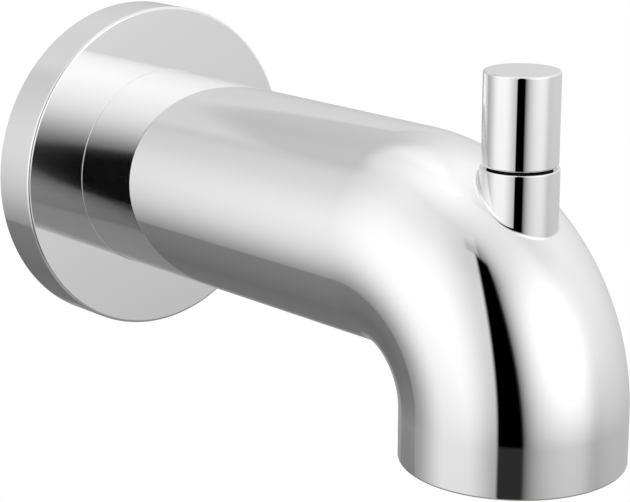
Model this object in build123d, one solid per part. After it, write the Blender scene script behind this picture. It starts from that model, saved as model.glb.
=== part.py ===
from build123d import *
from math import hypot, sqrt
import os

# A bath spout. A round tube leaves a wall flange level, turns down through a quarter bend,
# and carries a pull-up diverter knob on a boss over the outlet.
# The origin is the centre of the flange's wall face, +Z is up and the spout reaches along -Y.
# All sizes are in millimetres. A depth is a distance from the wall, and a level is a height.

# Tube and bend
tube_diameter = 50.0
tube_wall = 3.0
rear_wall = 5.0
outlet_reach = 134.0
bend_radius = 32.7
outlet_drop = 11.0
outlet_round = 0.5
seam_chamfer = 0.3

# Wall flange and its gasket
flange_diameter = 82.0
flange_depth = 12.0
flange_face_wall = 2.2
flange_rim_wall = 4.0
flange_edge_round = 0.7
hub_wall = 2.6
spigot_wall = 2.5
spigot_to_wall = 4.0
spigot_clearance = 0.1
spigot_ring_section = 1.2
gasket_width = 2.0
gasket_height = 2.0

# Inlet adapter for a half-inch taper pipe thread, drawn as the bore that the thread is cut in
pipe_bore_diameter = 18.4
pipe_thread_depth = 18.0
adapter_to_wall = 3.0
adapter_hex_flats = 27.0
adapter_hex_length = 10.0
adapter_collar_length = 16.0
adapter_collar_clearance = 0.2
adapter_nose_diameter = 19.6
adapter_nose_length = 15.0
adapter_passage_diameter = 14.0
adapter_ring_section = 1.6
set_screw_diameter = 6.0
set_screw_flats = 3.0
set_screw_sink = 0.6
set_screw_groove = 0.8

# Moulded waterway
waterway_bore = 16.0
waterway_wall = 2.0
socket_wall = 2.5
socket_clearance = 0.2
socket_play = 1.0
head_length = 25.0
port_width = 17.0
port_height = 9.0
plate_wall = 3.0
guide_wall = 2.0
guide_lip = 4.2
collar_height = 3.8
pad_diameter = 15.0
roof_clearance = 0.6

# Diverter gate, seal, rod and bushing
gate_thickness = 3.5
gate_lap = 1.5
gate_side_lap = 2.5
gate_slip = 0.2
gate_block_width = 10.0
seal_lap = 1.0
seal_thickness = 1.8
seal_proud = 0.9
rod_diameter = 4.0
rod_clearance = 0.05
rod_head_diameter = 6.6
rod_head_height = 1.6
rod_ring_section = 1.3
rod_ring_level = 15.0
bushing_wall = 1.95
bushing_flange_diameter = 12.0
bushing_flange_height = 1.2
bushing_clearance = 0.05
bushing_ring_section = 1.2
nut_flats = 11.0
nut_height = 2.6
nut_to_plate = 0.5
lock_washer_height = 0.6
lock_washer_width = 1.4
lock_washer_slit = 0.8

# Knob and the boss under it
knob_diameter = 16.4
knob_height = 20.1
knob_round = 0.45
knob_recess_diameter = 11.0
knob_recess_depth = 1.5
knob_thread_depth = 12.0
knob_washer_diameter = 14.0
knob_washer_height = 0.45
knob_play = 0.05
boss_diameter = 17.0
boss_least_height = 1.92
boss_blend = 1.0
boss_round = 0.3

# Radii and depths that follow from the sizes above
tube_radius = tube_diameter / 2
bore_radius = tube_radius - tube_wall
bend_start = outlet_reach - bend_radius
outlet_level = -(bend_radius + outlet_drop)
flange_radius = flange_diameter / 2
gasket_radius = flange_radius - (flange_rim_wall - gasket_width) / 2
rear_bore_radius = tube_radius - rear_wall
adapter_radius = rear_bore_radius - adapter_collar_clearance
nose_radius = adapter_nose_diameter / 2
spigot_radius = rear_bore_radius + spigot_wall
hub_bore_radius = spigot_radius + spigot_clearance
spigot_ring_depth = (spigot_to_wall + flange_depth) / 2
collar_start = adapter_to_wall + adapter_hex_length
collar_end = collar_start + adapter_collar_length
collar_ring_depth = collar_end - 1.4 * adapter_ring_section
nose_end = collar_end + adapter_nose_length
nose_ring_depths = {"rear": collar_end + 0.3 * adapter_nose_length,
                    "front": collar_end + 0.65 * adapter_nose_length}
set_screw_depth = (collar_start + collar_end) / 2
socket_radius = nose_radius + socket_clearance
waterway_radius = waterway_bore / 2 + waterway_wall
rod_radius = rod_diameter / 2
bushing_bore_radius = rod_radius + rod_clearance
bushing_radius = bushing_bore_radius + bushing_wall
pad_radius = pad_diameter / 2

# Levels of the diverter, from the boss and knob down to the gate in its guides
boss_foot_level = sqrt((bend_radius + tube_radius) ** 2 - (bend_radius - boss_diameter / 2) ** 2) - bend_radius
boss_level = boss_foot_level + boss_least_height
knob_level = boss_level + knob_washer_height + knob_play
rod_top = knob_level + knob_thread_depth
bushing_seat_level = boss_level - bushing_flange_height
roof_radius = bend_radius + bore_radius - roof_clearance
pad_level = sqrt(roof_radius ** 2 - (bend_radius + pad_radius) ** 2) - bend_radius
collar_bottom = pad_level - collar_height
nut_top = collar_bottom - lock_washer_height
bushing_bottom = nut_top - nut_height
gate_height = port_height + 2 * gate_lap
lift = gate_height
gate_top = bushing_bottom - gate_slip / 2 - lift
gate_bottom = gate_top - gate_height
guide_floor = gate_bottom - gate_slip
guide_bottom = guide_floor - guide_wall
port_level = gate_top + lift - gate_height / 2
rod_head_top = gate_top - gate_height / 4
rod_head_bottom = rod_head_top - rod_head_height

# Depths and half widths of the gate's guides, counted from the wall and the middle
seat_depth = outlet_reach - nut_flats / 2 - nut_to_plate
plate_back = seat_depth - plate_wall
head_start = plate_back - head_length
seal_back = seat_depth + gate_slip / 2
gate_back = seal_back + seal_proud
gate_front = gate_back + gate_thickness
lip_back = gate_front + gate_slip
lip_front = lip_back + guide_wall
block_front = outlet_reach + gate_block_width / 2
gate_half_width = port_width / 2 + gate_side_lap
guide_half_width = gate_half_width + gate_slip
lip_half_width = guide_half_width - guide_lip


# Shapes that several pieces use
def turned(outline):
    # turned about the tube's level axis, from points of (depth, radius)
    section = make_face(Polyline(*[(radius, -depth) for depth, radius in outline], close=True))
    return revolve(section, Axis.Y)


def upright(outline):
    # turned about the knob's upright axis, from points of (level, radius)
    section = make_face(Polyline(*[(radius, level) for level, radius in outline], close=True))
    return Pos(0, -outlet_reach, 0) * Rot(90, 0, 0) * revolve(section, Axis.Y)


def sleeve(start, end, outer, inner=0):
    return turned([(start, inner), (start, outer), (end, outer), (end, inner)])


def upright_sleeve(bottom, top, outer, inner=0):
    return upright([(bottom, inner), (bottom, outer), (top, outer), (top, inner)])


def block(half_width, start, end, bottom, top):
    centre = Pos(0, -(start + end) / 2, (bottom + top) / 2)
    return centre * Box(2 * half_width, end - start, top - bottom)


def level_ring(depth, inner, section):
    # an O-ring about the tube's level axis
    return Pos(0, -depth, 0) * Rot(90, 0, 0) * Torus(inner + section / 2, section / 2)


def upright_ring(level, inner, section):
    # an O-ring about the knob's upright axis
    return Pos(0, -outlet_reach, level) * Torus(inner + section / 2, section / 2)


def ring_groove(depth, bottom, top, section):
    # a groove a third wider than its ring, about the tube's level axis
    half_width = section * 2 / 3
    return sleeve(depth - half_width, depth + half_width, top, bottom)


def rounded_section(depth, level, width, height):
    plane = Plane(origin=(0, -depth, level), x_dir=(1, 0, 0), z_dir=(0, -1, 0))
    return plane * RectangleRounded(width, height, 0.46 * min(width, height))


def elbow(radius, start, end_level):
    # a round bar along the tube's centre line: a level run, a quarter bend and the drop
    level_run = sleeve(start, bend_start, radius)
    section = Plane(origin=(0, -bend_start, 0), x_dir=(0, 0, -1), z_dir=(0, -1, 0)) * Circle(radius)
    bend = revolve(section, Axis((0, -bend_start, -bend_radius), (1, 0, 0)), 90)
    return level_run + bend + upright_sleeve(end_level, -bend_radius, radius)


def on_boss(edge):
    # true for an edge where the boss's wall meets the bend
    points = [edge @ place for place in (0.1, 0.4, 0.7)]
    off_wall = max(abs(hypot(p.X, p.Y + outlet_reach) - boss_diameter / 2) for p in points)
    low = max(p.Z for p in points) < boss_level - boss_round
    return off_wall < 0.01 and low and edge.geom_type != GeomType.LINE


# The cast body: an elbow with a blended boss, hollow from the wall to the outlet
def body_outside():
    outside = elbow(tube_radius, flange_depth, outlet_level)
    outside += upright_sleeve(0, boss_level, boss_diameter / 2)
    outside = fillet(outside.edges().filter_by(on_boss), boss_blend)
    outside = fillet(outside.edges().group_by(Axis.Z)[-1], boss_round)
    outside = fillet(outside.edges().group_by(Axis.Z)[0], outlet_round)
    outside = chamfer(outside.edges().group_by(Axis.Y)[-1], seam_chamfer)
    return outside + sleeve(spigot_to_wall, flange_depth + tube_wall, spigot_radius)


def body_hollow():
    # narrow round the adapter, full bore beyond it, with the bushing's pad left under the roof
    shoulder = collar_end + 2 * socket_play
    cone_end = shoulder + bore_radius - rear_bore_radius
    rear = turned([(0, 0), (0, rear_bore_radius), (shoulder, rear_bore_radius),
                   (cone_end, bore_radius), (cone_end, 0)])
    mouth_edge = upright([(outlet_level, 0), (outlet_level, bore_radius + outlet_round),
                          (outlet_level + outlet_round, bore_radius), (outlet_level + outlet_round, 0)])
    hollow = rear + elbow(bore_radius, cone_end, outlet_level) + mouth_edge
    return hollow - upright_sleeve(pad_level, boss_level, pad_radius)


def bushing_bore():
    # the bushing's hole through boss and pad, with seats for its flange and its ring
    ring_radius = bushing_radius + bushing_ring_section + bushing_clearance
    flange_seat_radius = bushing_flange_diameter / 2 + bushing_clearance
    hole = upright_sleeve(pad_level - 1, boss_level, bushing_radius + bushing_clearance)
    ring_seat_level = bushing_seat_level - bushing_ring_section - bushing_clearance
    hole += upright_sleeve(ring_seat_level, boss_level, ring_radius)
    return hole + upright_sleeve(bushing_seat_level, boss_level, flange_seat_radius)


def set_screw_shank(radius, bottom, top):
    return Pos(0, -set_screw_depth, (bottom + top) / 2) * Cylinder(radius, top - bottom)


def spout_body():
    body = body_outside() - body_hollow() - bushing_bore()
    groove_bottom = hub_bore_radius - spigot_ring_section
    body -= ring_groove(spigot_ring_depth, groove_bottom, spigot_radius + 1, spigot_ring_section)
    return body - set_screw_shank(set_screw_diameter / 2, -tube_radius - 1, -rear_bore_radius + 1)


# The wall flange, hollow behind its face, with a hub that rides on the body's spigot
def wall_flange():
    rim_inner = flange_radius - flange_rim_wall
    face_back = flange_depth - flange_face_wall
    hub_radius = hub_bore_radius + hub_wall
    flange = turned([(0, rim_inner), (0, flange_radius), (flange_depth, flange_radius),
                     (flange_depth, hub_bore_radius), (spigot_to_wall, hub_bore_radius),
                     (spigot_to_wall, hub_radius), (face_back, hub_radius), (face_back, rim_inner)])
    front_edge = flange.edges().group_by(Axis.Y)[0].sort_by(SortBy.RADIUS)[-1]
    flange = fillet(front_edge, flange_edge_round)
    return flange - flange_gasket()


def flange_gasket():
    return sleeve(0, gasket_height, gasket_radius, gasket_radius - gasket_width)


def flange_seat_ring():
    return level_ring(spigot_ring_depth, hub_bore_radius - spigot_ring_section, spigot_ring_section)


# The turned brass adapter that screws onto the pipe and plugs into the waterway
def inlet_adapter():
    hexagon = extrude(RegularPolygon(adapter_hex_flats / 2, 6, major_radius=False), adapter_hex_length)
    adapter = Pos(0, -adapter_to_wall, 0) * Rot(90, 0, 0) * hexagon
    adapter += sleeve(collar_start, collar_end, adapter_radius)
    adapter += sleeve(collar_end, nose_end, nose_radius)
    pipe_radius = pipe_bore_diameter / 2
    passage_radius = adapter_passage_diameter / 2
    thread_end = adapter_to_wall + pipe_thread_depth
    adapter -= turned([(0, 0), (0, pipe_radius), (thread_end, pipe_radius),
                       (thread_end + pipe_radius - passage_radius, passage_radius),
                       (nose_end, passage_radius), (nose_end, 0)])
    screw_reach = set_screw_diameter / 2 + set_screw_groove
    adapter -= sleeve(set_screw_depth - screw_reach, set_screw_depth + screw_reach,
                      adapter_radius, adapter_radius - set_screw_groove)
    adapter -= ring_groove(collar_ring_depth, rear_bore_radius - adapter_ring_section,
                           adapter_radius, adapter_ring_section)
    for depth in nose_ring_depths.values():
        adapter -= ring_groove(depth, socket_radius - adapter_ring_section,
                               nose_radius, adapter_ring_section)
    return adapter


def collar_o_ring():
    return level_ring(collar_ring_depth, rear_bore_radius - adapter_ring_section, adapter_ring_section)


def nose_o_ring(place):
    return level_ring(nose_ring_depths[place], socket_radius - adapter_ring_section, adapter_ring_section)


def set_screw():
    bottom = set_screw_sink - tube_radius
    tip = set_screw_groove - adapter_radius
    screw = set_screw_shank(set_screw_diameter / 2, bottom, tip)
    screw = chamfer(screw.edges().group_by(Axis.Z)[-1], set_screw_diameter / 4)
    socket = extrude(RegularPolygon(set_screw_flats / 2, 6, major_radius=False), set_screw_flats)
    return screw - Pos(0, -set_screw_depth, bottom) * socket


# The moulded waterway: socket, tube, head and the plate with the gate's guides
def waterway_head(wall):
    # from the round tube down to the wide port, grown all round by the wall
    tube_size = waterway_bore + 2 * wall
    start = rounded_section(head_start, 0, tube_size, tube_size)
    end = rounded_section(plate_back, port_level, port_width + 2 * wall, port_height + 2 * wall)
    return loft([start, end])


def gate_guides():
    # side rails and lips that the gate slides between, closed below by a floor
    rail_top = bushing_bottom - nut_to_plate
    guides = block(guide_half_width + guide_wall, seat_depth, lip_front, guide_bottom, rail_top)
    guides -= block(guide_half_width, seat_depth, lip_back, guide_floor, rail_top)
    return guides - block(lip_half_width, lip_back, lip_front, guide_floor, rail_top)


def waterway():
    socket_start = collar_end + socket_play
    socket_end = nose_end + socket_play
    shape = sleeve(socket_start, socket_end + socket_wall, socket_radius + socket_wall)
    shape += sleeve(socket_start, head_start, waterway_radius)
    shape += waterway_head(waterway_wall)
    shape += block(guide_half_width + guide_wall, plate_back, seat_depth, guide_bottom, bushing_bottom)
    shape += block(pad_radius, plate_back, seat_depth, bushing_bottom, pad_level)
    shape += upright_sleeve(collar_bottom, pad_level, pad_radius)
    shape += gate_guides()
    shape -= sleeve(socket_start, socket_end, socket_radius)
    shape -= sleeve(socket_start, head_start, waterway_bore / 2)
    shape -= waterway_head(0)
    shape -= extrude(rounded_section(plate_back, port_level, port_width, port_height), plate_wall)
    return shape - upright_sleeve(collar_bottom, pad_level, bushing_radius + bushing_clearance)


# The bushing that carries the rod through the boss and clamps the waterway under it
def rod_bushing():
    flange_radius_here = bushing_flange_diameter / 2
    bushing = upright([(bushing_bottom, bushing_bore_radius), (bushing_bottom, bushing_radius),
                       (bushing_seat_level, bushing_radius), (bushing_seat_level, flange_radius_here),
                       (boss_level, flange_radius_here), (boss_level, bushing_bore_radius)])
    ring_radius = rod_radius + rod_clearance / 2 + rod_ring_section
    groove_half = rod_ring_section * 2 / 3
    return bushing - upright_sleeve(rod_ring_level - groove_half, rod_ring_level + groove_half, ring_radius)


def rod_o_ring():
    return upright_ring(rod_ring_level, rod_radius + rod_clearance / 2, rod_ring_section)


def bushing_o_ring():
    return upright_ring(bushing_seat_level - bushing_ring_section / 2, bushing_radius, bushing_ring_section)


def lock_washer():
    outer = bushing_radius + lock_washer_width
    washer = upright_sleeve(nut_top, collar_bottom, outer, bushing_radius)
    slit = Box(outer, lock_washer_slit, 2 * lock_washer_height)
    return washer - Pos(outer / 2, -outlet_reach, nut_top) * slit


def bushing_nut():
    hexagon = extrude(RegularPolygon(nut_flats / 2, 6, major_radius=False), nut_height)
    nut = Pos(0, -outlet_reach, bushing_bottom) * hexagon
    return nut - upright_sleeve(bushing_bottom, nut_top, bushing_radius)


# The pieces that lift: gate, seal, rod and knob
def gate_seal():
    section = rounded_section(seal_back, port_level - lift, port_width + 2 * seal_lap,
                              port_height + 2 * seal_lap)
    return extrude(section, seal_thickness)


def diverter_gate():
    gate = block(gate_half_width, gate_back, gate_front, gate_bottom, gate_top)
    gate += block(gate_block_width / 2, gate_back, block_front, gate_bottom, gate_top)
    neck_radius = rod_radius + gate_slip
    head_radius = rod_head_diameter / 2 + gate_slip
    head_top = rod_head_top + gate_slip / 2
    head_bottom = rod_head_bottom - gate_slip / 2
    for radius, bottom, top in ((neck_radius, head_bottom, gate_top), (head_radius, head_bottom, head_top)):
        gate -= upright_sleeve(bottom, top, radius)
        gate -= block(radius, outlet_reach, block_front, bottom, top)
    return gate - gate_seal()


def lift_rod():
    head_radius = rod_head_diameter / 2
    return upright([(rod_head_bottom, 0), (rod_head_bottom, head_radius), (rod_head_top, head_radius),
                    (rod_head_top, rod_radius), (rod_top, rod_radius), (rod_top, 0)])


def diverter_knob():
    knob_radius = knob_diameter / 2
    recess_radius = knob_recess_diameter / 2
    knob_top = knob_level + knob_height
    recess_top = knob_level + knob_recess_depth
    knob = upright_sleeve(knob_level, knob_top, knob_radius)
    knob = fillet(knob.edges().filter_by(GeomType.CIRCLE), knob_round)
    knob -= upright_sleeve(knob_level, recess_top, recess_radius)
    return knob - upright_sleeve(recess_top, rod_top, rod_radius)


def knob_washer():
    washer_radius = knob_washer_diameter / 2
    return upright_sleeve(boss_level, boss_level + knob_washer_height, washer_radius,
                          bushing_bore_radius + bushing_clearance)


# Every piece goes to its own file
pieces = {
    "spout_body": spout_body(),
    "wall_flange": wall_flange(),
    "flange_gasket": flange_gasket(),
    "flange_seat_ring": flange_seat_ring(),
    "inlet_adapter": inlet_adapter(),
    "collar_o_ring": collar_o_ring(),
    "nose_o_ring_rear": nose_o_ring("rear"),
    "nose_o_ring_front": nose_o_ring("front"),
    "set_screw": set_screw(),
    "waterway": waterway(),
    "rod_bushing": rod_bushing(),
    "rod_o_ring": rod_o_ring(),
    "bushing_o_ring": bushing_o_ring(),
    "lock_washer": lock_washer(),
    "bushing_nut": bushing_nut(),
    "knob_washer": knob_washer(),
    "diverter_gate": diverter_gate(),
    "gate_seal": gate_seal(),
    "lift_rod": lift_rod(),
    "diverter_knob": diverter_knob(),
}
os.makedirs("parts", exist_ok=True)
for name, piece in pieces.items():
    export_step(piece, f"parts/{name}.step")
print("lift", round(lift, 3), "pad level", round(pad_level, 3), "guide bottom", round(guide_bottom, 3))
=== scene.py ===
import bpy
import numpy as np
from math import cos, radians, sin
from mathutils import Matrix, Vector


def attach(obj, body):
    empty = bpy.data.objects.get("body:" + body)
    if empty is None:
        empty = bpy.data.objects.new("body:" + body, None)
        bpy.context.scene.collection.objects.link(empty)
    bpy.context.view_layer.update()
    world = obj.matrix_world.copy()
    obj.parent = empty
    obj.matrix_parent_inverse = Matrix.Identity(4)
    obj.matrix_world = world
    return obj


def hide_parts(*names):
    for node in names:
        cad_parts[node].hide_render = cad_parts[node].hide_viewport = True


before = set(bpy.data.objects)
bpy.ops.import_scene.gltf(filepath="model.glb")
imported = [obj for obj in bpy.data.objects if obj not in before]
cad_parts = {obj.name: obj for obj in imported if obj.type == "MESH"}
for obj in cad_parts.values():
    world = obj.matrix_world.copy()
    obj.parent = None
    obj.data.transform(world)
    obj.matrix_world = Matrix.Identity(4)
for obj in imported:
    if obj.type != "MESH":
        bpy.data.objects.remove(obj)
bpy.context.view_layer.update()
print("frame loaded:", len(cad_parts), "nodes")


# Shader maths: a wrapped socket takes part in ordinary Python expressions
class Wire:
    def __init__(self, maker, socket):
        self.maker, self.socket = maker, socket

    def maths(self, operation, *others):
        return self.maker.maths(operation, self, *others)

    def __add__(self, other):
        return self.maths("ADD", other)

    def __radd__(self, other):
        return self.maths("ADD", other)

    def __sub__(self, other):
        return self.maths("SUBTRACT", other)

    def __rsub__(self, other):
        return self.maker.maths("SUBTRACT", other, self)

    def __mul__(self, other):
        return self.maths("MULTIPLY", other)

    def __rmul__(self, other):
        return self.maths("MULTIPLY", other)

    def __truediv__(self, other):
        return self.maths("DIVIDE", other)

    def __rtruediv__(self, other):
        return self.maker.maths("DIVIDE", other, self)

    def __pow__(self, other):
        return self.maths("POWER", other)

    def __rpow__(self, other):
        return self.maker.maths("POWER", other, self)

    def __abs__(self):
        return self.maths("ABSOLUTE")


# One node tree, and the only way that nodes get into it
class Maker:
    def __init__(self, tree):
        self.tree = tree
        tree.nodes.clear()

    def node(self, kind, settings=None, sockets=None, output=0):
        made = self.tree.nodes.new("ShaderNode" + kind)
        for name, setting in (settings or {}).items():
            setattr(made, name, setting)
        for name, value in (sockets or {}).items():
            if isinstance(value, Wire):
                self.tree.links.new(value.socket, made.inputs[name])
            else:
                made.inputs[name].default_value = value
        return Wire(self, made.outputs[output]) if made.outputs else None

    def maths(self, operation, *values):
        return self.node("Math", {"operation": operation}, dict(enumerate(values)))

    def rise(self, start, end, value):
        # a smooth step: 0 at the start, 1 at the end
        sockets = {"Value": value, "From Min": start, "From Max": end}
        return self.node("MapRange", {"interpolation_type": "SMOOTHSTEP"}, sockets)

    def parts(self, vector):
        split = self.node("SeparateXYZ", {}, {0: vector})
        return [Wire(self, socket) for socket in split.socket.node.outputs]

    def place(self):
        # the place on the object, in metres
        return self.node("TexCoord", output="Object")


def startMaterial(name):
    material = bpy.data.materials.new(name)
    material.use_nodes = True
    return material, Maker(material.node_tree)


# The camera stands where the photograph was taken from, found from the outline's perspective
camera = {"azimuth": -41.907, "elevation": 15.795, "roll": -0.213, "distance": 0.47216,
          "target": (-0.00872, -0.07217, -0.00687), "lens": 115.76, "shift": (0.03525, -0.00827),
          "nearest": 0.02, "farthest": 60}


def addCamera():
    azimuth, elevation, roll = (radians(camera[name]) for name in ("azimuth", "elevation", "roll"))
    back = Vector((sin(azimuth) * cos(elevation), -cos(azimuth) * cos(elevation), sin(elevation)))
    right = Vector((0, 0, 1)).cross(back).normalized()
    up = back.cross(right)
    right, up = right * cos(roll) + up * sin(roll), up * cos(roll) - right * sin(roll)
    lens = bpy.data.cameras.new("camera")
    lens.lens, lens.clip_start, lens.clip_end = (camera[name] for name in ("lens", "nearest", "farthest"))
    lens.shift_x, lens.shift_y = camera["shift"]
    eye = bpy.data.objects.new("camera", lens)
    place = Vector(camera["target"]) + back * camera["distance"]
    eye.matrix_world = Matrix.Translation(place) @ Matrix((right, up, back)).transposed().to_4x4()
    bpy.context.scene.collection.objects.link(eye)
    bpy.context.scene.camera = eye


addCamera()
print("camera placed")


# The studio, as brightness by direction. Azimuth 0 is straight ahead of the spout and grows to
# the right, elevation 90 is straight up, and every angle is in degrees. Four angles in a row are
# a centre, the half width of the even part, and the widths over which it falls off on either side.
# Two are the start and the end of a rise.
studio = {
    "wall": 0.42,
    "leftBox": {"gain": 1.09, "azimuth": (-106.5, 10, 45, 43), "top": 65, "height": 111, "power": 0.83},
    "boxes": {
        "right": {"gain": 0.88, "azimuth": (11.3, 0, 82, 61), "elevation": (11.3, 0, 79, 79)},
        "side": {"gain": 0.36, "azimuth": (92.5, 19, 39.5, 39.5), "elevation": (15, 30, 40, 40)},
        "fill": {"gain": 0.30, "azimuth": (-64, 3, 375, 375), "elevation": (10, 20, 40, 40)},
        "gap": {"gain": -0.15, "azimuth": (182, 9, 43, 16), "elevation": (45, 0, 20, 9)},
        "backSpot": {"gain": 0.12, "azimuth": (148, 4, 18, 22), "elevation": (62, 6, 14, 14)},
    },
    "lowBox": {"gain": 0.14, "azimuth": 184, "top": 41.7, "soft": 1, "curve": 0.008,
               "left": (-60, -40), "right": (6, 16), "height": (-10, 38)},
    "post": {"gain": 0.085, "azimuth": (40.5, 1, 17, 17), "height": (-6, 22)},
    "ceiling": {"gain": 0.74, "height": (40, 98)},
    "backBox": {"gain": 0.31, "height": (23, 61), "lost": 0.6, "lostHeight": (65, 90)},
    "lowDim": {"start": 29.3, "depth": 79.7},
    "floor": {"horizon": -34.7, "soft": 0.9, "rise": 10, "riseStart": 130, "riseWidth": 29, "riseMost": 1.15,
              "backSoft": 9.7, "backSoftAzimuth": (156, 176), "tone": 0.161, "front": 0.143,
              "right": -0.042, "sides": 0.07, "below": 0.042, "belowHeight": (-85, -30)},
}


def wrapped(m, angle):
    # the same angle between -180 and 180
    return m.maths("WRAP", angle, 180.0, -180.0)


def band(m, angle, centre, half, softLow, softHigh):
    # 1 within half of the centre, falling smoothly to 0 over each soft width
    turn = wrapped(m, angle - centre)
    return (1 - m.rise(half, half + softHigh, turn)) * (1 - m.rise(half, half + softLow, -1 * turn))


def softBoxes(m, azimuth, elevation, behind):
    left, low, post, ceiling, back, dim = (
        studio[name] for name in ("leftBox", "lowBox", "post", "ceiling", "backBox", "lowDim"))
    fall = ((left["top"] - elevation) / left["height"]).maths("MAXIMUM", 0.0) ** left["power"]
    light = studio["wall"] + left["gain"] * fall * band(m, azimuth, *left["azimuth"])
    for box in studio["boxes"].values():
        light += box["gain"] * band(m, azimuth, *box["azimuth"]) * band(m, elevation, *box["elevation"])
    # a low box straight behind, whose level top edge seems to curve down to its sides
    turn = wrapped(m, azimuth - low["azimuth"])
    over = elevation - low["top"] + low["curve"] * turn * turn
    light += (low["gain"] * (1 - m.rise(-low["soft"], low["soft"], over)) * (1 - m.rise(*low["right"], turn))
              * m.rise(*low["left"], turn) * m.rise(*low["height"], elevation))
    light -= post["gain"] * band(m, azimuth, *post["azimuth"]) * (1 - m.rise(*post["height"], elevation))
    light += ceiling["gain"] * m.rise(*ceiling["height"], elevation)
    light += (back["gain"] * behind * m.rise(*back["height"], elevation)
              * (1 - back["lost"] * m.rise(*back["lostHeight"], elevation)))
    lost = ((dim["start"] - elevation) / dim["depth"]).maths("MAXIMUM", 0.0)
    return light * (1 - lost * lost)


def studioFloor(m, azimuth, elevation, behind, light):
    # grey below a horizon that rises and softens behind the spout
    floor = studio["floor"]
    far = ((abs(azimuth) - floor["riseStart"]) / floor["riseWidth"]).maths("MAXIMUM", 0.0)
    far = far.maths("MINIMUM", floor["riseMost"])
    over = elevation - floor["horizon"] - floor["rise"] * far * far
    soft = floor["soft"] + floor["backSoft"] * m.rise(*floor["backSoftAzimuth"], abs(azimuth))
    above = m.rise(-1, 1, over / soft)
    sideways = azimuth.maths("RADIANS").maths("SINE")
    tone = floor["tone"] + floor["front"] * (1 - behind) + floor["right"] * sideways
    tone += floor["sides"] * abs(sideways) + floor["below"] * (1 - m.rise(*floor["belowHeight"], elevation))
    return light * above + tone * (1 - above)


def bearings(m, direction):
    # azimuth = arctan(x / -y) and elevation = arcsin(z), in degrees
    x, y, z = m.parts(direction)
    return m.maths("ARCTAN2", x, -1 * y).maths("DEGREES"), z.maths("ARCSINE").maths("DEGREES")


def lightStudio():
    # the chrome mirrors the studio, and everything else sees even white
    world = bpy.data.worlds.new("studio")
    world.use_nodes = True
    m = Maker(world.node_tree)
    azimuth, elevation = bearings(m, m.node("TexCoord", output="Generated"))
    behind = 0.5 - 0.5 * azimuth.maths("RADIANS").maths("COSINE")
    light = studioFloor(m, azimuth, elevation, behind, softBoxes(m, azimuth, elevation, behind))
    strength = 1 + m.node("LightPath", output="Is Glossy Ray") * (light - 1)
    background = m.node("Background", {}, {"Color": (1, 1, 1, 1), "Strength": strength})
    m.node("OutputWorld", {}, {"Surface": background})
    bpy.context.scene.world = world
    bpy.context.scene.view_settings.view_transform = "Standard"


lightStudio()


# A tall black card in front and to the left gives the chrome its dark stripe. It narrows upwards and
# its top slopes, gauze thins out from its right edge and hangs over its top, and its foot is dark grey.
# Angles are as in the studio, seen from the card's centre.
blackCard = {
    "centre": (0, -0.14, 0), "distance": 1.3, "wide": (-68, 30), "high": (-50, 70), "step": 2,
    "left": -62.9, "leftLean": 0.098, "leftSoft": 1.9, "right": -38.7, "rightLean": 0.08, "rightSoft": 2.1,
    "leanStart": -18, "top": 54.2, "topPlace": -53, "topLean": 0.3, "topSoft": 2.0,
    "foot": -21.2, "footSoft": 0.8, "footLight": 0.029,
    "gauze": {"strength": 0.93, "width": 10.8, "start": -52.0, "fade": (10, 30), "height": (42.2, 68.2)},
    "topGauze": {"strength": 0.27, "azimuth": (-57, 5, 7, 7), "elevation": (56, 0.5, 2.5, 6)},
}


def cardMaterial():
    card, gauze, topGauze = blackCard, blackCard["gauze"], blackCard["topGauze"]
    material, m = startMaterial("blackCard")
    azimuth, elevation = bearings(m, m.node("VectorMath", {"operation": "NORMALIZE"}, {0: m.place()}))
    height = (elevation - card["leanStart"]).maths("MAXIMUM", 0.0)
    inside = azimuth - card["left"] - card["leftLean"] * height
    outside = azimuth - card["right"] + card["rightLean"] * height
    over = elevation - card["top"] + card["topLean"] * (azimuth - card["topPlace"])
    solid = (m.rise(-card["leftSoft"], card["leftSoft"], inside)
             * (1 - m.rise(-card["rightSoft"], card["rightSoft"], outside))
             * (1 - m.rise(-card["topSoft"], card["topSoft"], over)))
    # the gauze thins out as exp(-distance / width)
    veil = gauze["strength"] * (outside.maths("MAXIMUM", 0.0) / -gauze["width"]).maths("EXPONENT")
    veil *= ((1 - m.rise(*gauze["fade"], azimuth)) * (1 - m.rise(*gauze["height"], elevation))
             * azimuth.maths("GREATER_THAN", gauze["start"]))
    topVeil = (topGauze["strength"] * band(m, elevation, *topGauze["elevation"])
               * band(m, azimuth, *topGauze["azimuth"]))
    cover = 1 - (1 - veil) * (1 - solid) * (1 - topVeil)
    low = 1 - m.rise(card["foot"] - card["footSoft"], card["foot"] + card["footSoft"], elevation)
    grey = m.node("Emission", {}, {"Strength": card["footLight"] * low})
    clear = m.node("BsdfTransparent")
    m.node("OutputMaterial", {}, {"Surface": m.node("MixShader", {}, {0: cover, 1: clear, 2: grey})})
    return material


def addBlackCard():
    card = blackCard
    azimuths, elevations = (np.radians(np.arange(low, high + 1, card["step"]))
                            for low, high in (card["wide"], card["high"]))
    across, up = np.meshgrid(azimuths, elevations)
    way = np.stack([np.sin(across) * np.cos(up), -np.cos(across) * np.cos(up), np.sin(up)], -1)
    points = card["distance"] * way.reshape(-1, 3)
    index = np.arange(len(points)).reshape(-1, len(azimuths))
    faces = np.stack([index[:-1, :-1], index[:-1, 1:], index[1:, 1:], index[1:, :-1]], -1).reshape(-1, 4)
    mesh = bpy.data.meshes.new("blackCard")
    mesh.from_pydata(points.tolist(), [], faces.tolist())
    mesh.materials.append(cardMaterial())
    sheet = bpy.data.objects.new("blackCard", mesh)
    sheet.location = card["centre"]
    bpy.context.scene.collection.objects.link(sheet)
    # only the chrome's mirror sees it
    sheet.visible_camera = sheet.visible_diffuse = sheet.visible_shadow = sheet.visible_transmission = False


addBlackCard()


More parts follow.
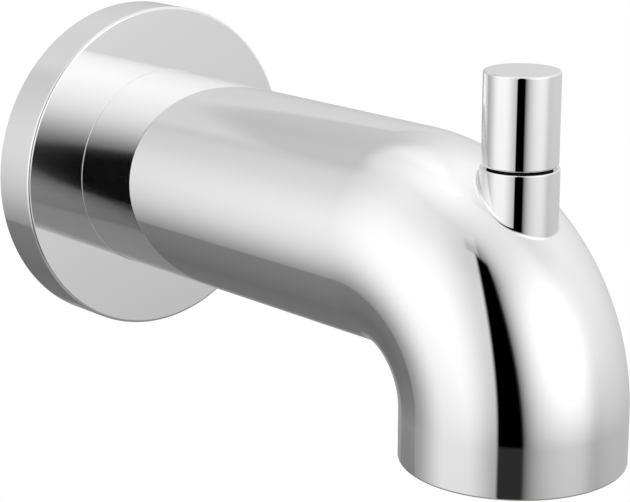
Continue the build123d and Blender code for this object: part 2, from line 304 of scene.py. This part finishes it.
# A pale disc below the spout, white to the eye. The floor that the chrome mirrors is in the studio.
paleFloor = {"radius": 9, "level": -1.0, "sides": 96}


def addFloor():
    turns = np.linspace(0, 2 * np.pi, paleFloor["sides"], endpoint=False)
    level = np.full(len(turns), paleFloor["level"])
    ring = np.stack([paleFloor["radius"] * np.cos(turns), paleFloor["radius"] * np.sin(turns), level], 1)
    mesh = bpy.data.meshes.new("floor")
    mesh.from_pydata(ring.tolist(), [], [list(range(len(turns)))])
    floor = bpy.data.objects.new("floor", mesh)
    bpy.context.scene.collection.objects.link(floor)
    material, m = startMaterial("paleFloor")
    m.node("OutputMaterial", {}, {"Surface": m.node("BsdfDiffuse", {}, {"Color": (1, 1, 1, 1)})})
    mesh.materials.append(material)
    floor.visible_glossy = False


addFloor()
print("studio lit")


def finishMaterial(m, sockets):
    m.node("OutputMaterial", {}, {"Surface": m.node("BsdfPrincipled", {}, sockets)})


def noise(m, place, scale, detail=3.0, stretch=(1, 1, 1)):
    placed = m.node("Mapping", {}, {"Vector": place, "Scale": stretch})
    return m.node("TexNoise", {}, {"Vector": placed, "Scale": scale, "Detail": detail})


def bump(m, height, strength, distance):
    return m.node("Bump", {}, {"Height": height, "Strength": strength, "Distance": distance})


def mixColour(m, amount, first, second):
    return m.node("Mix", {"data_type": "RGBA"}, {"Factor": amount, 6: first, 7: second}, output=2)


def dress(node, material):
    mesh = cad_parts[node].data
    mesh.materials.clear()
    mesh.materials.append(material)


# Chrome over polished brass. Where the plating bath hardly reaches, inside, it is dull and cast.
chromeLook = {"colour": (0.834, 0.834, 0.834, 1), "roughness": 0.012, "cloudScale": 60.0, "cloudiness": 0.02,
              "castDark": (0.34, 0.33, 0.31, 1), "castPale": (0.42, 0.41, 0.39, 1), "castRoughness": 0.42,
              "mottleScale": 170.0, "mottling": 0.1, "grainScale": 2600.0, "grainDetail": 4.0,
              "grainStrength": 0.5, "grainDepth": 0.00012, "flangeMetal": 0.99}


def chrome(name, hidden, metal=1.0):
    # hidden(m, x, y, z) is 1 on the faces that were never polished, and metal under 1 leaves a faint haze
    look = chromeLook
    material, m = startMaterial(name)
    place = m.place()
    roughness = look["roughness"] + look["cloudiness"] * noise(m, place, look["cloudScale"])
    inside = hidden(m, *m.parts(place))
    grain = noise(m, place, look["grainScale"], look["grainDetail"])
    mottle = noise(m, place, look["mottleScale"])
    cast = mixColour(m, mottle, look["castDark"], look["castPale"])
    castRoughness = look["castRoughness"] + look["mottling"] * mottle
    finishMaterial(m, {"Metallic": metal, "Base Color": mixColour(m, inside, look["colour"], cast),
                       "Roughness": roughness + inside * (castRoughness - roughness),
                       "Normal": bump(m, grain * inside, look["grainStrength"], look["grainDepth"])})
    return material


# Where the unpolished faces are, in metres. Each begins just off a polished one, over these places.
castEdges = {"bore": (0.0006, 0.0016), "flangeFront": (0.0007, 0.0017), "flangeRim": (-0.0002, 0.0008),
             "recess": (0.0001, 0.0005), "knobTop": (-0.0027, -0.0022)}


def past(m, edge, place, value):
    # 0 before the place and 1 past it
    start, end = castEdges[edge]
    return m.rise(place + start, place + end, value)


def insideTube(m, x, y, z):
    # the distance from the tube's centre line, which turns down at the bend
    bend, bore = spoutBody["bendRadius"] / 1000, spoutBody["boreRadius"] / 1000
    back = (-spoutBody["bendStart"] / 1000 - y).maths("MAXIMUM", 0.0)
    up = (z + bend).maths("MAXIMUM", 0.0)
    off = (back * back + up * up).maths("SQRT") - bend
    return 1 - past(m, "bore", bore, (x * x + off * off).maths("SQRT"))


def behindFlange(m, x, y, z):
    front, rim = -wallFlange["depth"] / 1000, wallFlange["gasket"][0] / 1000
    radius = (x * x + z * z).maths("SQRT")
    return past(m, "flangeFront", front, y) * (1 - past(m, "flangeRim", rim, radius))


def underKnob(m, x, y, z):
    recess = diverterKnob["recessRadius"] / 1000
    top = (diverterKnob["bottom"] + diverterKnob["height"]) / 1000
    across = y + spoutBody["reach"] / 1000
    radius = (x * x + across * across).maths("SQRT")
    return (1 - past(m, "recess", recess, radius)) * (1 - past(m, "knobTop", top, z))


# A skin is put together from strips between rows of points, each corner with its exact normal,
# so that the mirror finish shows no facets
class Skin:
    def __init__(self):
        self.points, self.faces, self.normals, self.count = [], [], [], 0

    def row(self, points):
        # adds points and gives their numbers
        self.points.append(points)
        self.count += len(points)
        return np.arange(self.count - len(points), self.count)

    def strip(self, first, second, firstNormals, secondNormals, keep=None):
        # closed round: point j of a row joins point j + 1, and the last joins the first
        faces = np.stack([first, np.roll(first, -1), np.roll(second, -1), second], 1)
        normals = np.stack([firstNormals, np.roll(firstNormals, -1, 0),
                            np.roll(secondNormals, -1, 0), secondNormals], 1)
        self.faces.append(faces if keep is None else faces[keep])
        self.normals.append(normals if keep is None else normals[keep])

    def cap(self, ring, centre, normal):
        # a flat disc: triangles from a ring to its centre
        middle, normals = self.row(np.array([centre])), np.tile(normal, (len(ring), 1))
        self.strip(ring, np.full(len(ring), middle[0]), normals, normals)

    def build(self, name):
        points = np.concatenate(self.points) / 1000
        faces, normals = np.concatenate(self.faces), np.concatenate(self.normals)
        # a face whose diagonals' cross product points away from its normals is turned over
        first, second, third, fourth = (points[faces[:, corner]] for corner in range(4))
        inward = (np.cross(third - first, fourth - second) * normals.sum(1)).sum(1) < 0
        faces[inward], normals[inward] = faces[inward][:, ::-1], normals[inward][:, ::-1]
        # a face with a point twice becomes a triangle
        doubleStart, doubleEnd = faces[:, 0] == faces[:, 1], faces[:, 2] == faces[:, 3]
        three = doubleStart | doubleEnd
        sides, corners = [faces[~three], faces[three]], [normals[~three], normals[three]]
        pick = np.where(doubleStart[three][:, None], [[1, 2, 3]], [[0, 1, 2]])
        sides[1] = np.take_along_axis(sides[1], pick, 1)
        corners[1] = np.take_along_axis(corners[1], pick[:, :, None], 1)
        mesh = bpy.data.meshes.new(name)
        mesh.from_pydata(points, [], sides[0].tolist() + sides[1].tolist())
        mesh.polygons.foreach_set("use_smooth", np.ones(len(mesh.polygons), bool))
        flat = np.concatenate([corners[0].reshape(-1, 3), corners[1].reshape(-1, 3)])
        mesh.normals_split_custom_set((flat / np.linalg.norm(flat, axis=1, keepdims=True)).tolist())
        mesh.update()
        skin = bpy.data.objects.new(name, mesh)
        bpy.context.scene.collection.objects.link(skin)
        return skin


def roundedProfile(corners, steps=6, closed=True):
    # corners are (along, out, round). An arc takes the place of each rounded corner. Gives the points
    # and, for each stretch between two points, the outward normals at its two ends.
    def aside(way):
        return np.array([-way[1], way[0]])

    points, ways = [], []
    for place, (along, out, radius) in enumerate(corners):
        here = np.array([along, out], float)
        before, after = np.array(corners[place - 1][:2]), np.array(corners[(place + 1) % len(corners)][:2])
        arriving = (here - before) / np.hypot(*(here - before))
        leaving = (after - here) / np.hypot(*(after - here))
        if radius == 0:
            points.append(here)
            ways.append((arriving, leaving))
            continue
        turn = np.arctan2(arriving[0] * leaving[1] - arriving[1] * leaving[0], arriving @ leaving)
        start = here - arriving * radius * np.tan(abs(turn) / 2)
        centre = start + np.sign(turn) * radius * aside(arriving)
        for part in np.linspace(0, turn, steps + 1):
            way = np.array([np.cos(part) * arriving[0] - np.sin(part) * arriving[1],
                            np.sin(part) * arriving[0] + np.cos(part) * arriving[1]])
            points.append(centre - np.sign(turn) * radius * aside(way))
            ways.append((way, way))
    count = len(points) if closed else len(points) - 1
    normals = [(aside(ways[i][1]), aside(ways[(i + 1) % len(points)][0])) for i in range(count)]
    return points, normals


def turnProfile(skin, last, profile, start, angle, ring, facing):
    # a profile turned about an axis: strips from a row of points through the profile's points from
    # start to the last but one, where ring gives a row's points and facing its normals
    points, normals = profile
    for place in range(start, len(points) - 1):
        here = skin.row(ring(angle, *points[place]))
        skin.strip(last, here, *(facing(angle, normal) for normal in normals[place - 1]))
        last = here
    return last


# The chromed body. Lengths are in mm and a window's angles in degrees. A place along is measured on
# the tube's centre line, from the wall.
spoutBody = {
    "tubeRadius": 25.0, "boreRadius": 22.0, "rearBoreRadius": 20.0, "shoulder": 31.0, "cone": 33.0,
    "spigotRadius": 22.5, "spigotStart": 4.0, "ringGroove": (7.2, 8.8, 21.4),
    "bendStart": 101.3, "bendRadius": 32.7, "drop": 11.0, "reach": 134.0, "lip": 0.5,
    "seam": 12.0, "seamRound": 0.16, "seamEdge": 0.02,
    "bossRadius": 8.5, "bossTop": 21.6, "blend": 1.0, "bossRound": 0.3, "seats": ((6.05, 1.2), (5.25, 2.45)),
    "bushingHole": 4.05, "padRadius": 7.5, "padLevel": 3.505, "screwPlace": 21.0, "screwRadius": 3.0,
    "around": 240, "bendRows": 90, "levelRows": 16, "screwRows": (-5.0, -2.5, 0.0, 2.5, 5.0),
    "patchRows": 7, "blendRows": 8, "screwPatchRows": 3,
    "bossWindow": {"bend": (19, 50), "half": 27}, "screwWindow": {"half": 12},
}


def centreLine(along):
    # level, then a quarter turn down, then straight down: the point, the way on and the way out
    bend = np.clip((along - spoutBody["bendStart"]) / spoutBody["bendRadius"], 0, np.pi / 2)
    level = np.minimum(along, spoutBody["bendStart"])
    down = np.maximum(along - spoutBody["bendStart"] - spoutBody["bendRadius"] * np.pi / 2, 0)
    zero = np.zeros_like(bend)
    point = np.stack([zero, -level - spoutBody["bendRadius"] * np.sin(bend),
                      -spoutBody["bendRadius"] * (1 - np.cos(bend)) - down], -1)
    onward = np.stack([zero, -np.cos(bend), -np.sin(bend)], -1)
    outward = np.stack([zero, -np.sin(bend), np.cos(bend)], -1)
    return point, onward, outward


def onTube(along, around, radius):
    # a point of the tube's surface and its normal, at an angle round the centre line
    point, _, outward = centreLine(along)
    normal = np.cos(around)[..., None] * np.array([1.0, 0, 0]) + np.sin(around)[..., None] * outward
    return point + radius * normal, normal


def overTube(x, y, radius):
    # where an upright line through (x, y) leaves the top of the bend: along, around and level
    back = -y - spoutBody["bendStart"]
    out = np.sqrt(radius ** 2 - x ** 2)
    up = np.sqrt((spoutBody["bendRadius"] + out) ** 2 - back ** 2)
    along = spoutBody["bendStart"] + spoutBody["bendRadius"] * np.arctan2(back, up)
    return along, np.arctan2(out, x), up - spoutBody["bendRadius"]


def underTube(x, y, radius):
    # the same, where it leaves the bottom of the level run
    out = -np.sqrt(radius ** 2 - x ** 2)
    return -y, np.arctan2(out, x) % (2 * np.pi), out


class TubeGrid:
    # the tube's rows by place along and columns by angle, and the windows that are cut in them
    def __init__(self, skin, profile, normals, around):
        self.skin, self.normals, self.around, self.windows = skin, normals, around, []
        self.along = np.array([along for along, _ in profile])
        self.index = [skin.row(onTube(np.full(len(around), along), around, out)[0]) for along, out in profile]

    def turned(self, place, normal):
        # a profile's normal (along, out) carried round the tube at one of its points
        _, onward, outward = centreLine(np.full(len(self.around), self.along[place]))
        ring = np.cos(self.around)[:, None] * np.array([1.0, 0, 0]) + np.sin(self.around)[:, None] * outward
        return normal[0] * onward + normal[1] * ring

    def window(self, rows, columns):
        # takes out a block of faces and gives its edge, in order: row, column of each point
        self.windows.append((rows, columns))
        (top, bottom), (left, right) = rows, columns
        side = [(top, j) for j in range(left, right)] + [(i, right) for i in range(top, bottom)]
        side += [(bottom, j) for j in range(right, left, -1)] + [(i, left) for i in range(bottom, top, -1)]
        return side

    def edge(self, side):
        # the places along and the angles round of a window's edge
        return np.array([self.along[i] for i, j in side]), np.array([self.around[j] for i, j in side])

    def close(self):
        # every face outside the windows. The profile's last row joins its first.
        count = len(self.along)
        for i in range(count):
            keep = np.ones(len(self.around), bool)
            for (top, bottom), (left, right) in self.windows:
                if top <= i < bottom:
                    keep[left:right] = False
            j = (i + 1) % count
            self.skin.strip(self.index[i], self.index[j], self.turned(i, self.normals[i][0]),
                            self.turned(j, self.normals[i][1]), keep)


def patch(skin, grid, side, foot, footRadius, wayOut, rows):
    # joins a window's edge to a closed curve on the tube, evenly in place and angle;
    # wayOut is 1 on the outside of the tube and -1 in its bore
    along, around = grid.edge(side)
    last = np.array([grid.index[i][j] for i, j in side])
    lastNormals = onTube(along, around, footRadius)[1] * wayOut
    for part in np.linspace(0, 1, rows + 1)[1:]:
        moved = along + part * (foot[0] - along), around + part * (foot[1] - around)
        here, normals = onTube(*moved, footRadius)
        index = skin.row(here)
        skin.strip(last, index, lastNormals, normals * wayOut)
        last, lastNormals = index, normals * wayOut
    return last


def knobTurn(angle, along, out):
    # a ring about the knob's upright axis
    level = np.full(angle.shape, along)
    return np.stack([out * np.sin(angle), -spoutBody["reach"] + out * np.cos(angle), level], -1)


def knobNormal(angle, normal):
    # a profile's normal (along, out) carried round the knob's axis
    level = np.full(angle.shape, normal[0])
    return np.stack([normal[1] * np.sin(angle), normal[1] * np.cos(angle), level], -1)


def edgeAngles(grid, side, radius, centre):
    # the direction of each edge point, seen from above, about an upright axis
    points, _ = onTube(*grid.edge(side), radius)
    return np.arctan2(points[:, 0], points[:, 1] - centre)


def upright(angle):
    # the outward normal of an upright wall
    return np.stack([np.sin(angle), np.cos(angle), np.zeros_like(angle)], -1)


def boss(skin, grid, outerSide, innerSide):
    # from the window's edge in the tube up the boss, down its bore, and out to the edge in the tube's bore
    b = spoutBody
    angle = edgeAngles(grid, outerSide, b["tubeRadius"], -b["reach"])
    wide = b["bossRadius"] + b["blend"]
    x, y = wide * np.sin(angle), wide * np.cos(angle) - b["reach"]
    along, around, level = overTube(x, y, b["tubeRadius"] + b["blend"])
    last = patch(skin, grid, outerSide, (along, around), b["tubeRadius"], 1, b["patchRows"])
    # the blend: a ball rolled round between the tube and the boss's wall
    ball = np.stack([x, y, level], -1)
    tubeWay, wallWay = onTube(along, around, b["tubeRadius"])[1], upright(angle)
    spread = np.arccos((tubeWay * wallWay).sum(1))[:, None]
    lastNormals = tubeWay
    for part in np.linspace(0, 1, b["blendRows"] + 1)[1:]:
        normals = (np.sin((1 - part) * spread) * tubeWay + np.sin(part * spread) * wallWay) / np.sin(spread)
        index = skin.row(ball - b["blend"] * normals)
        skin.strip(last, index, lastNormals, normals)
        last, lastNormals = index, normals
    # up over the boss's rim, and down through the seats to the pad under the bend
    top, depth = b["bossTop"], 0
    corners = [(0, b["bossRadius"], 0), (top, b["bossRadius"], b["bossRound"])]
    for radius, below in b["seats"]:
        corners += [(top - depth, radius, 0), (top - below, radius, 0)]
        depth = below
    corners += [(top - depth, b["bushingHole"], 0), (b["padLevel"], b["bushingHole"], 0),
                (b["padLevel"], b["padRadius"], 0), (top, b["padRadius"], 0)]
    last = turnProfile(skin, last, roundedProfile(corners, closed=False), 1, angle, knobTurn, knobNormal)
    # up the pad's wall to the bore's roof, and out over the bore
    x, y = b["padRadius"] * np.sin(angle), b["padRadius"] * np.cos(angle) - b["reach"]
    foot = overTube(x, y, b["boreRadius"])[:2]
    inner = patch(skin, grid, innerSide, foot, b["boreRadius"], -1, b["patchRows"])
    skin.strip(last, inner, upright(angle), upright(angle))


def screwHole(skin, grid, outerSide, innerSide):
    # a round hole straight up through the tube's wall, between the edges of its two windows
    b = spoutBody
    angle = edgeAngles(grid, outerSide, b["tubeRadius"], -b["screwPlace"])
    x, y = b["screwRadius"] * np.sin(angle), b["screwRadius"] * np.cos(angle) - b["screwPlace"]
    sides = (outerSide, b["tubeRadius"], 1), (innerSide, b["rearBoreRadius"], -1)
    rings = [patch(skin, grid, side, underTube(x, y, radius)[:2], radius, wayOut, b["screwPatchRows"])
             for side, radius, wayOut in sides]
    skin.strip(*rings, -upright(angle), -upright(angle))


def makeSpoutBody():
    b = spoutBody
    tube, bore, rearBore, spigot = (b[name + "Radius"] for name in ("tube", "bore", "rearBore", "spigot"))
    seam, lip = b["seam"], b["lip"]
    bendEnd = b["bendStart"] + b["bendRadius"] * np.pi / 2
    end = bendEnd + b["drop"]
    screwRows = [b["screwPlace"] + step for step in b["screwRows"]]
    places = screwRows + list(np.linspace(screwRows[-1], b["bendStart"], b["levelRows"] + 1)[1:])
    places += list(np.linspace(b["bendStart"], bendEnd, b["bendRows"] + 1)[1:])
    # a fine concave round leads from the seam up to the tube
    edge = seam + b["seamEdge"]
    corners = [(seam, tube + b["seamRound"], 0), (edge, tube + b["seamRound"], 0),
               (edge, tube, b["seamRound"] - b["seamEdge"])]
    corners += [(place, tube, 0) for place in places]
    corners += [(end, tube, lip), (end, bore + lip, 0), (end - lip, bore, 0)]
    corners += [(place, bore, 0) for place in reversed(places) if place > b["cone"]]
    corners += [(b["cone"], bore, 0), (b["shoulder"], rearBore, 0)]
    corners += [(place, rearBore, 0) for place in reversed(screwRows)]
    low, high, bottom = b["ringGroove"]
    corners += [(b["spigotStart"], rearBore, 0), (b["spigotStart"], spigot, 0), (low, spigot, 0),
                (low, bottom, 0), (high, bottom, 0), (high, spigot, 0), (seam, spigot, 0)]
    profile, normals = roundedProfile(corners)
    skin = Skin()
    grid = TubeGrid(skin, profile, normals, np.arange(b["around"]) * 2 * np.pi / b["around"])

    def rowAt(place, radius):
        return int(np.argmin([abs(along - place) + abs(out - radius) for along, out in profile]))

    def cut(centre, halfAngle, first, last, inside):
        # the same window in the tube's outside and in its bore, with both edges in the same order
        half = round(b["around"] * halfAngle / 360)
        columns = (centre - half, centre + half)
        outer = grid.window((rowAt(first, tube), rowAt(last, tube)), columns)
        inner = grid.window((rowAt(last, inside), rowAt(first, inside)), columns)
        lookup = {(round(grid.along[i], 3), j): (i, j) for i, j in inner}
        return outer, [lookup[(round(grid.along[i], 3), j)] for i, j in outer]

    near, far = (b["bendStart"] + b["bendRadius"] * np.radians(angle) for angle in b["bossWindow"]["bend"])
    boss(skin, grid, *cut(b["around"] // 4, b["bossWindow"]["half"], near, far, bore))
    below = 3 * b["around"] // 4
    screwHole(skin, grid, *cut(below, b["screwWindow"]["half"], screwRows[0], screwRows[-1], rearBore))
    grid.close()
    return skin.build("spoutShell")


def takePlace(piece, body, node, material):
    # the piece rides a body in place of a CAD node
    piece.data.materials.append(material)
    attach(piece, body)
    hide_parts(node)


takePlace(makeSpoutBody(), "spout", "spout_body", chrome("chromeBody", insideTube))


# The wall flange: one closed profile turned about the tube's axis
wallFlange = {"radius": 41.0, "depth": 12.0, "faceWall": 2.2, "rimInner": 37.0, "hubBore": 22.6,
              "hubRadius": 25.2, "hubStart": 4.0, "edgeRound": 0.7, "roundSteps": 8,
              "gasket": (38.0, 40.0, 2.0), "around": 360}


def makeWallFlange():
    f = wallFlange
    inner, outer, deep = f["gasket"]
    floor = f["depth"] - f["faceWall"]
    corners = [(0, outer, 0), (0, f["radius"], 0), (f["depth"], f["radius"], f["edgeRound"]),
               (f["depth"], f["hubBore"], 0), (f["hubStart"], f["hubBore"], 0),
               (f["hubStart"], f["hubRadius"], 0), (floor, f["hubRadius"], 0),
               (floor, f["rimInner"], 0), (0, f["rimInner"], 0),
               (0, inner, 0), (deep, inner, 0), (deep, outer, 0)]
    profile, normals = roundedProfile(corners, f["roundSteps"])
    skin = Skin()
    TubeGrid(skin, profile, normals, np.arange(f["around"]) * 2 * np.pi / f["around"]).close()
    return skin.build("flangeShell")


flangeChrome = chrome("chromeFlange", behindFlange, chromeLook["flangeMetal"])
takePlace(makeWallFlange(), "spout", "wall_flange", flangeChrome)


# The knob: turned about its upright axis, with the recess and the threaded hole underneath
diverterKnob = {"radius": 8.2, "bottom": 22.1, "height": 20.1, "round": 0.45, "roundSteps": 8,
                "recessRadius": 5.5, "recessDepth": 1.5, "holeRadius": 2.0, "holeTop": 34.1, "around": 240}


def makeKnob():
    k = diverterKnob
    bottom, top, recess = k["bottom"], k["bottom"] + k["height"], k["bottom"] + k["recessDepth"]
    corners = [(k["holeTop"], 0, 0), (k["holeTop"], k["holeRadius"], 0), (recess, k["holeRadius"], 0),
               (recess, k["recessRadius"], 0), (bottom, k["recessRadius"], 0),
               (bottom, k["radius"], k["round"]), (top, k["radius"], k["round"]), (top, 0, 0)]
    profile = roundedProfile(corners, k["roundSteps"], closed=False)
    angle = np.arange(k["around"]) * 2 * np.pi / k["around"]
    skin = Skin()
    first = skin.row(knobTurn(angle, *profile[0][1]))
    skin.cap(first, (0, -spoutBody["reach"], k["holeTop"]), (0, 0, -1))
    last = turnProfile(skin, first, profile, 2, angle, knobTurn, knobNormal)
    skin.cap(last, (0, -spoutBody["reach"], top), (0, 0, 1))
    return skin.build("knobShell")


takePlace(makeKnob(), "diverter", "diverter_knob", chrome("chromeKnob", underKnob))
print("chrome polished")


# Metals turned on a lathe: fine grooves across the axis, and tarnish in clouds
turnedLook = {
    "brass": {"bright": (0.80, 0.60, 0.27, 1), "dark": (0.60, 0.42, 0.17, 1),
              "roughness": 0.24, "groove": 0.00022},
    "steel": {"bright": (0.66, 0.65, 0.63, 1), "dark": (0.50, 0.49, 0.47, 1),
              "roughness": 0.20, "groove": 0.00016},
    "marks": {"cloudScale": 120.0, "tarnish": 0.16, "fineScale": 900.0, "fineDetail": 2.0, "waver": 3,
              "grooveShare": 0.6, "strength": 0.25, "depth": 0.00002},
}


def turnedMetal(name, kind, level):
    # level pieces were turned about the tube's axis, the others about the knob's
    look, marks = turnedLook[kind], turnedLook["marks"]
    material, m = startMaterial(name)
    place = m.place()
    _, y, z = m.parts(place)
    along, stretch = (y, (0.2, 1, 0.2)) if level else (z, (0.2, 0.2, 1))
    clouds = noise(m, place, marks["cloudScale"])
    fine = noise(m, place, marks["fineScale"], marks["fineDetail"], stretch)
    # grooves = sin(2 pi along / groove + waver * fine)
    grooves = (along * (2 * np.pi / look["groove"]) + marks["waver"] * fine).maths("SINE")
    height = grooves * marks["grooveShare"] + fine
    finishMaterial(m, {"Metallic": 1.0, "Base Color": mixColour(m, clouds, look["bright"], look["dark"]),
                       "Roughness": look["roughness"] + marks["tarnish"] * clouds,
                       "Normal": bump(m, height, marks["strength"], marks["depth"])})
    return material


# The brass adapter on the wall pipe: a hexagon, a grooved collar and nose, and in its bore the
# half-inch pipe thread that the spout is mounted by
inletAdapter = {
    "start": 3.0, "flats": 27.0, "faceRadius": 13.2,
    "collarStart": 13.0, "collarRadius": 19.8, "collarEnd": 29.0, "collarRound": 0.4,
    "collarGrooves": ((17.2, 24.8, 19.0), (25.693, 27.827, 18.4)),
    "noseRadius": 9.8, "noseEnd": 44.0, "noseRound": 0.6,
    "noseGrooves": ((32.433, 34.567, 8.4), (37.683, 39.817, 8.4)),
    "passageRadius": 7.0, "passageStart": 23.2, "boreRadius": 9.2, "boreEnd": 21.0, "mouthRadius": 10.7,
    "pitch": 1.814, "threadDepth": 1.16, "threadFlat": 0.12, "threadFade": (17.0, 19.5),
    "rowsPerTurn": 12, "around": 180, "roundSteps": 4,
}


def levelRing(around, along, out):
    # a ring about the tube's level axis; along and out may change with the angle
    along, out = np.broadcast_to(along, around.shape), np.broadcast_to(out, around.shape)
    return np.stack([out * np.cos(around), -along, out * np.sin(around)], -1)


def levelNormal(around, normal):
    # a profile's normal (along, out) carried round the level axis
    level = np.full(around.shape, -normal[0])
    return np.stack([normal[1] * np.cos(around), level, normal[1] * np.sin(around)], -1)


def threadRadius(along, around):
    # a right-hand helix cut from the bore outwards, with a bevel at the mouth. In each pitch,
    # phase = along / pitch - turns, and tooth = (1 - flat - |2 phase - 1|) / (1 - 2 flat) within 0 and 1
    a = inletAdapter
    flat, (fadeStart, fadeEnd) = a["threadFlat"], a["threadFade"]
    phase = (along / a["pitch"] - around / (2 * np.pi)) % 1
    tooth = np.clip((1 - flat - np.abs(2 * phase - 1)) / (1 - 2 * flat), 0, 1)
    fade = np.clip((fadeEnd - along) / (fadeEnd - fadeStart), 0, 1)
    bevel = a["mouthRadius"] - (along - a["start"])
    return np.maximum(a["boreRadius"] + a["threadDepth"] * tooth * fade, bevel)


def threadedBore(skin, last, around):
    # from the bore's inner end out to the mouth. The normal is inward + slope * along + twist / radius *
    # sideways, from the radius's slopes over a small step in mm and a small turn in radians.
    a = inletAdapter
    step, turn = 0.01, 0.01 / 9
    inward = levelNormal(around, (0, -1))
    sideways = np.stack([-np.sin(around), np.zeros_like(around), np.cos(around)], -1)
    rows = round((a["boreEnd"] - a["start"]) / a["pitch"] * a["rowsPerTurn"])
    lastNormals = inward
    for along in np.linspace(a["boreEnd"], a["start"], rows + 1)[1:]:
        radius = threadRadius(along, around)
        slope = (threadRadius(along + step, around) - threadRadius(along - step, around)) / (2 * step)
        twist = (threadRadius(along, around + turn) - threadRadius(along, around - turn)) / (2 * turn)
        normals = inward + slope[:, None] * np.array([0, -1.0, 0]) + (twist / radius)[:, None] * sideways
        here = skin.row(levelRing(around, along, radius))
        skin.strip(last, here, lastNormals, normals)
        last, lastNormals = here, normals
    return last


def makeInletAdapter():
    a = inletAdapter
    start, bore, passage = a["start"], a["boreRadius"], a["passageRadius"]
    around = np.arange(a["around"]) * 2 * np.pi / a["around"]
    skin = Skin()
    # the hexagon, with a 30 degree bevel on its outer end
    side = np.arange(a["around"]) * 6 // a["around"]
    across = a["flats"] / 2 / np.cos(around - (side + 0.5) * np.pi / 3)
    edge = skin.row(levelRing(around, start, a["faceRadius"]))
    bevel = skin.row(levelRing(around, start + (across - a["faceRadius"]) / np.sqrt(3), across))
    cone = levelNormal(around, (-np.sqrt(0.75), 0.5))
    skin.strip(edge, bevel, cone, cone)
    last = skin.row(levelRing(around, a["collarStart"], across))
    for flat in range(6):
        facing = levelNormal(np.full(around.shape, (flat + 0.5) * np.pi / 3), (0, 1))
        skin.strip(bevel, last, facing, facing, side == flat)
    # the collar and the nose with their grooves, and back through the passage
    corners = [(a["collarStart"], a["flats"] / 2, 0)]
    starts = (a["collarStart"], a["collarRound"]), (a["collarEnd"], 0)
    for part, (first, startRound) in zip(("collar", "nose"), starts):
        radius = a[part + "Radius"]
        corners.append((first, radius, startRound))
        for low, high, bottom in a[part + "Grooves"]:
            corners += [(low, radius, 0), (low, bottom, 0), (high, bottom, 0), (high, radius, 0)]
        corners.append((a[part + "End"], radius, a[part + "Round"]))
    corners += [(a["noseEnd"], passage, 0), (a["passageStart"], passage, 0),
                (a["boreEnd"], bore, 0), (start, bore, 0)]
    profile = roundedProfile(corners, a["roundSteps"], closed=False)
    last = turnProfile(skin, last, profile, 1, around, levelRing, levelNormal)
    mouth, face = threadedBore(skin, last, around), levelNormal(around, (-1, 0))
    skin.strip(mouth, edge, face, face)
    return skin.build("adapterPiece")


adapterBrass = turnedMetal("turnedBrassLevel", "brass", True)
takePlace(makeInletAdapter(), "spout", "inlet_adapter", adapterBrass)
print("adapter threaded")

brass, steel = turnedMetal("turnedBrass", "brass", False), turnedMetal("turnedSteel", "steel", False)
for piece in ("rod_bushing", "bushing_nut"):
    dress(piece, brass)
for piece in ("lift_rod", "set_screw", "lock_washer"):
    dress(piece, steel)


# Black rubber, with a pale bloom in clouds
rubberLook = {"colour": (0.018, 0.018, 0.019, 1), "bloom": (0.05, 0.05, 0.05, 1), "roughness": 0.62,
              "bloomScale": 190.0, "bloomPower": 2.0, "bloomRoughness": 0.2,
              "grainScale": 3800.0, "grainDetail": 4.0, "strength": 0.5, "depth": 0.00004}


def rubber():
    look = rubberLook
    material, m = startMaterial("blackRubber")
    place = m.place()
    clouds = noise(m, place, look["bloomScale"])
    grain = noise(m, place, look["grainScale"], look["grainDetail"])
    colour = mixColour(m, clouds ** look["bloomPower"], look["colour"], look["bloom"])
    finishMaterial(m, {"Base Color": colour,
                       "Roughness": look["roughness"] + look["bloomRoughness"] * clouds,
                       "Normal": bump(m, grain, look["strength"], look["depth"])})
    return material


soft = rubber()
for piece in ("flange_gasket", "flange_seat_ring", "collar_o_ring", "nose_o_ring_rear", "nose_o_ring_front",
              "rod_o_ring", "bushing_o_ring", "gate_seal"):
    dress(piece, soft)


# Moulded plastic, with flow marks from the gate of the mould and the fine grain of its steel
plasticLook = {
    # the washer's colour is darker than real black plastic and its shine is low: painted shade for the deep
    # gap between the knob and the boss
    "washer": {"colour": (0.004, 0.004, 0.004, 1), "pale": (0.007, 0.007, 0.007, 1),
               "roughness": 0.6, "shine": 0.08},
    "black": {"colour": (0.012, 0.012, 0.013, 1), "pale": (0.022, 0.022, 0.023, 1),
              "roughness": 0.38, "shine": 0.5},
    "white": {"colour": (0.78, 0.77, 0.74, 1), "pale": (0.86, 0.85, 0.83, 1),
              "roughness": 0.33, "shine": 0.5},
    "marks": {"flowScale": 70.0, "flowDetail": 2.0, "flowStretch": (1, 0.35, 1), "flowRoughness": 0.14,
              "grainScale": 3000.0, "grainDetail": 3.0, "strength": 0.3, "depth": 0.00003},
}


def moulded(name, kind):
    look, marks = plasticLook[kind], plasticLook["marks"]
    material, m = startMaterial(name)
    place = m.place()
    flow = noise(m, place, marks["flowScale"], marks["flowDetail"], marks["flowStretch"])
    grain = noise(m, place, marks["grainScale"], marks["grainDetail"])
    finishMaterial(m, {"Base Color": mixColour(m, flow, look["colour"], look["pale"]),
                       "Roughness": look["roughness"] + marks["flowRoughness"] * flow,
                       "Specular IOR Level": look["shine"],
                       "Normal": bump(m, grain + flow, marks["strength"], marks["depth"])})
    return material


# the washer carries painted shade: its near-black colour stands in for the shadow in the gap under the knob
dress("knob_washer", moulded("washerPaintedShade", "washer"))
dress("diverter_gate", moulded("blackAcetal", "black"))
dress("waterway", moulded("whiteAcetal", "white"))
print("materials finished")
